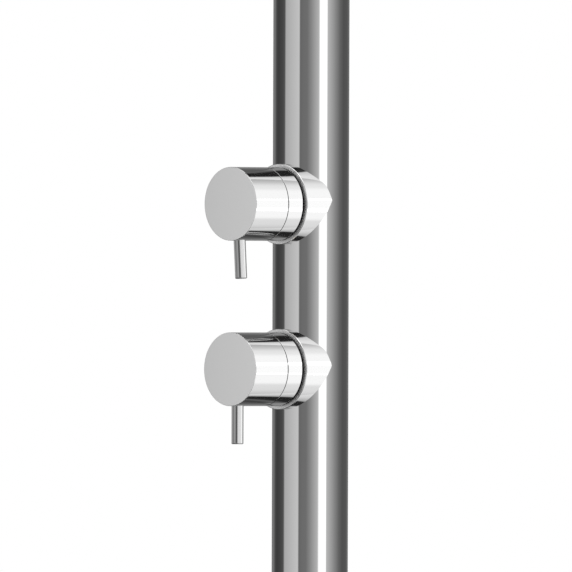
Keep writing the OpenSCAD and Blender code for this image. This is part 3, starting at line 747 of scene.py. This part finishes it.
def nozzles():
    """Soft rounded tips with their jet holes, one in the middle and five rings round it."""
    low, high = low_high("nozzles")
    plate = low_high("nozzle_plate")[0].z
    root_r, tip_r, hole_r, edge = 1.95 * MM, 1.2 * MM, 0.6 * MM, 0.15 * MM
    rings, step, margin, corners = 5, 6, 7 * MM, 32
    pitch = (low_high("head_shell")[1].x - margin) / (rings + 0.5)
    first = turned("nozzle_tips", [
        (hole_r, low.z), (tip_r, low.z), (root_r, plate), (root_r, high.z), (hole_r, high.z)],
        corners, True, edge)
    bevelled(first, edge, 2)
    places = [(0, 0)] + [
        (ring * pitch * math.cos(2 * math.pi * i / (ring * step)),
         ring * pitch * math.sin(2 * math.pi * i / (ring * step)))
        for ring in range(1, rings + 1) for i in range(ring * step)]
    shape = bmesh.new()
    for x, y in places:
        count = len(shape.verts)
        shape.from_mesh(first.data)
        shape.verts.ensure_lookup_table()
        bmesh.ops.translate(shape, verts=shape.verts[count:], vec=(x, y, 0))
    shape.to_mesh(first.data)
    shape.free()
    head_at(first)
    finish(first, SILICONE, "grey_silicone", "head", "nozzles")


def dress_nodes():
    """Materials of the CAD nodes that stay as they are."""
    kept = {
        BRASS: ["inlet_block", "arm_elbow"],
        COPPER: ["cold_pipe", "hot_pipe", "link_pipe", "riser_pipe"],
        PLASTIC: ["ball_seat"],
    }
    inside = {BRASS: ["valve_body", "ring_nut", "spindle"], RUBBER: ["gasket", "spindle_seal"],
              PLASTIC: ["cartridge"], CERAMIC: ["fixed_disc", "moving_disc"],
              DARK: ["grub_screw"]}
    for material, names in inside.items():
        kept[material] = kept.get(material, []) + [f"{c}_{n}" for c in HEIGHTS for n in names]
    for material, names in kept.items():
        for name in names:
            node = frame["nodes"][name]
            node.data.materials.clear()
            node.data.materials.append(material)


# The studio: floor, world, lamps and camera

VIEW_AZIMUTH = 45          # degrees round from the front, towards +X
CAMERA_FAR = 15.0
FLOOR_R = 12.0
PICTURE = 572              # pixels across the picture
POST_PX = 76.15            # width of the post in the picture
POST_AT_PX = 310.6         # where its axis stands, half way up
CONTROLS_AT_PX = 286.7     # half way between the two controls
ROLL = 0.18                # degrees

# Strips of light and dark round the object at eye level, by the angle from the camera's side,
# positive to its right: (angle, level)
HORIZON = [
    (-180, 0.13), (-156, 0.26), (-140, 0.20), (-133, 0.10), (-126, 0.07), (-118, 0.06),
    (-98, 0.08), (-88, 0.11), (-83, 0.54), (-60, 0.64), (-37, 0.74), (-34, 0.18), (-24, 0.20),
    (-12, 0.21), (0, 0.33), (12, 0.48), (23, 0.62), (27.5, 1.50), (49, 1.50), (51, 0.66),
    (62, 0.52), (80, 0.32), (98, 0.17), (115, 0.11), (140, 0.12), (160, 0.22), (180, 0.25),
]
# The same a little over and under eye level
SKY = [
    (-180, 0.45), (-165, 0.10), (-145, 0.10), (-130, 0.30), (-115, 0.35), (-65, 0.35),
    (-40, 0.80), (40, 0.95), (80, 1.25), (97, 1.25), (105, 1.10), (112, 0.98), (120, 0.75),
    (141, 0.60), (150, 0.30), (165, 0.12), (172, 0.15), (178, 0.29), (180, 0.45),
]
# High up, where the post is seen again in the tops of the controls
HIGH = [
    (-180, 0.12), (-110, 0.16), (-90, 0.14), (-70, 0.03), (-53, 0.02), (-10, 0.02),
    (10, 0.05), (20, 0.85), (60, 1.10), (100, 1.10), (108, 1.02), (117, 0.74), (126, 0.57),
    (140, 0.60), (150, 0.15), (180, 0.12),
]
# Far down
LOW = [
    (-180, 0.07), (-110, 0.07), (-97, 0.10), (-75, 0.17), (-50, 0.03), (-10, 0.02),
    (10, 0.04), (20, 0.60), (60, 0.95), (95, 1.02), (101, 0.98), (114, 0.93), (122, 0.82),
    (135, 0.60), (145, 0.15), (180, 0.07),
]
OVERHEAD = [(-180, 2.0), (180, 2.0)]     # the soft light straight above
# Where one of these turns into the next, in degrees over or under eye level
BAND = (7, 13)
HIGH_BAND = (28, 34)
OVERHEAD_BAND = (50, 58)

# The soft boxes at eye level: angle as above, width, height and level
LAMP_FAR = 1.6
STRIP_TALL = 2 * LAMP_FAR * math.tan(math.radians(BAND[1]))
SIDE_LAMPS = {"side_soft_box": (90, 0.5, STRIP_TALL, 0.86)}
FACE_LAMPS = {"face_soft_box": (-90, 1.2, 1.2, 0.44)}
PIN_LAMPS = {
    "pin_soft_box_left": (-130, 2.4, STRIP_TALL, 0.45),
    "pin_soft_box_front": (13, 0.75, STRIP_TALL, 0.70),
    "pin_soft_box_right": (100, 4.0, STRIP_TALL, 0.90),
}


def tone_ramp(nodes, stops):
    """A ramp node round the whole circle, scaled to its brightest stop, and that stop's level."""
    node = nodes.new("ShaderNodeValToRGB")
    ramp = node.color_ramp
    while len(ramp.elements) > 1:
        ramp.elements.remove(ramp.elements[-1])
    peak = max(level for _, level in stops)
    for index, (angle, level) in enumerate(stops):
        place = (angle + 180) / 360
        element = ramp.elements[0] if index == 0 else ramp.elements.new(place)
        element.position = place
        tone = level / peak
        element.color = (tone, tone, tone, 1)
    return node, peak


def studio_world():
    """White where the camera looks past the object; strips of light and dark in its reflections."""
    world = bpy.data.worlds.new("studio")
    bpy.context.scene.world = world
    world.use_nodes = True
    nodes, links = world.node_tree.nodes, world.node_tree.links
    nodes.clear()

    def math_node(operation, *values):
        node = nodes.new("ShaderNodeMath")
        node.operation = operation
        for index, value in enumerate(values):
            if isinstance(value, (int, float)):
                node.inputs[index].default_value = value
            else:
                links.new(value, node.inputs[index])
        return node.outputs[0]

    coordinates = nodes.new("ShaderNodeTexCoord")
    parts = nodes.new("ShaderNodeSeparateXYZ")
    links.new(coordinates.outputs["Generated"], parts.inputs["Vector"])
    turn = math_node("ARCTAN2", parts.outputs["Y"], parts.outputs["X"])
    degrees = math_node("MULTIPLY", turn, 180 / math.pi)
    shifted = math_node("ADD", degrees, 90 - VIEW_AZIMUTH)
    wrapped = math_node("WRAP", shifted, 180, -180)
    place = math_node("DIVIDE", math_node("ADD", wrapped, 180), 360)
    rise = math_node("MULTIPLY", math_node("ARCSINE", parts.outputs["Z"]), 180 / math.pi)
    fall = math_node("MULTIPLY", rise, -1)
    lift = math_node("ABSOLUTE", rise)

    def level(stops):
        ramp, peak = tone_ramp(nodes, stops)
        links.new(place, ramp.inputs["Fac"])
        return math_node("MULTIPLY", ramp.outputs["Color"], peak)

    def past(angle, band, under, over):
        """Goes from one level to another where an angle passes through a band."""
        step = nodes.new("ShaderNodeMapRange")
        step.interpolation_type = "SMOOTHSTEP"
        step.inputs["From Min"].default_value = band[0]
        step.inputs["From Max"].default_value = band[1]
        links.new(angle, step.inputs["Value"])
        mixed = nodes.new("ShaderNodeMix")
        links.new(step.outputs["Result"], mixed.inputs["Factor"])
        links.new(under, mixed.inputs["A"])
        links.new(over, mixed.inputs["B"])
        return mixed.outputs["Result"]

    total = past(lift, BAND, level(HORIZON), level(SKY))
    total = past(rise, HIGH_BAND, total, level(HIGH))
    total = past(rise, OVERHEAD_BAND, total, level(OVERHEAD))
    total = past(fall, HIGH_BAND, total, level(LOW))
    strips = nodes.new("ShaderNodeBackground")
    links.new(total, strips.inputs["Strength"])
    plain = nodes.new("ShaderNodeBackground")
    plain.inputs["Color"].default_value = (1, 1, 1, 1)
    plain.inputs["Strength"].default_value = 1.0
    path = nodes.new("ShaderNodeLightPath")
    choose = nodes.new("ShaderNodeMixShader")
    output = nodes.new("ShaderNodeOutputWorld")
    links.new(path.outputs["Is Camera Ray"], choose.inputs["Fac"])
    links.new(strips.outputs["Background"], choose.inputs[1])
    links.new(plain.outputs["Background"], choose.inputs[2])
    links.new(choose.outputs["Shader"], output.inputs["Surface"])


def soft_box(name, aim, angle, wide, tall, level, receivers):
    """A rectangular lamp at eye level that lights the given pieces alone."""
    turn = math.radians(angle + VIEW_AZIMUTH - 90)
    out = Vector((math.cos(turn), math.sin(turn), 0))
    up = Vector((0, 0, 1))
    data = bpy.data.lights.new(name, "AREA")
    data.shape = "RECTANGLE"
    data.size, data.size_y = wide, tall
    data.energy = level * math.pi * wide * tall
    lamp = bpy.data.objects.new(name, data)
    bpy.context.scene.collection.objects.link(lamp)
    lamp.location = aim + out * LAMP_FAR
    lamp.rotation_euler = Matrix((up.cross(out), up, out)).transposed().to_euler()
    lamp.visible_camera = False
    lit = bpy.data.collections.new(name + "_lit")
    for piece in receivers:
        lit.objects.link(piece)
    lamp.light_linking.receiver_collection = lit


def control_lamps():
    """Soft boxes for the controls' sides, their front faces and the lever pins."""
    controls_out = 45 * MM
    aim = Vector((0, -controls_out, (HEIGHTS["lower"] + HEIGHTS["upper"]) / 2))
    pieces = [p for p in bpy.data.objects if p.name.startswith(("lower_", "upper_"))]
    faces = [p for p in pieces if p.name.endswith(("handle_turned", "collar_polished"))]
    pins = [p for p in pieces if p.name.endswith("lever_turned")]
    for lamps, receivers in ((SIDE_LAMPS, pieces), (FACE_LAMPS, faces), (PIN_LAMPS, pins)):
        for name, (angle, wide, tall, level) in lamps.items():
            soft_box(name, aim, angle, wide, tall, level, receivers)


def floor():
    deselect_objects()
    bpy.ops.mesh.primitive_circle_add(vertices=ROUND, radius=FLOOR_R, fill_type="NGON",
                                      location=(0, 0, 0))
    disc = start("studio_floor")
    material, nodes, _ = new_material("pale_floor")
    shader = nodes["Principled BSDF"]
    shader.inputs["Base Color"].default_value = (0.85, 0.85, 0.85, 1)
    shader.inputs["Roughness"].default_value = 0.7
    disc.data.materials.append(material)
    disc.visible_glossy = False


def camera():
    turn = math.radians(VIEW_AZIMUTH)
    towards = Vector((math.sin(turn), -math.cos(turn), 0))
    right = Vector((math.cos(turn), math.sin(turn), 0))
    size = 2 * POST_R / POST_PX
    half = PICTURE / 2
    height = (HEIGHTS["lower"] + HEIGHTS["upper"]) / 2 + (CONTROLS_AT_PX - half) * size
    aim = -right * (POST_AT_PX - half) * size + Vector((0, 0, height))
    data = bpy.data.cameras.new("camera")
    eye = bpy.data.objects.new("camera", data)
    bpy.context.scene.collection.objects.link(eye)
    data.lens = data.sensor_width * CAMERA_FAR / (PICTURE * size)
    data.clip_end = CAMERA_FAR * 4
    eye.location = aim + towards * CAMERA_FAR
    eye.rotation_euler = ((-towards).to_track_quat("-Z", "Y").to_matrix()
                          @ Matrix.Rotation(math.radians(ROLL), 3, "Z")).to_euler()
    bpy.context.scene.camera = eye


post_tube()
top_cap()
base_plate()
for control in HEIGHTS:
    collar(control)
    groove_ring(control)
    sleeve(control)
    handle(control)
    lever_pin(control)
arm()
arm_collar()
ball_stem()
ball_nut()
head_shell()
nozzle_plate()
nozzles()
dress_nodes()
floor()
studio_world()
control_lamps()
camera()
bpy.context.scene.view_settings.view_transform = "Standard"
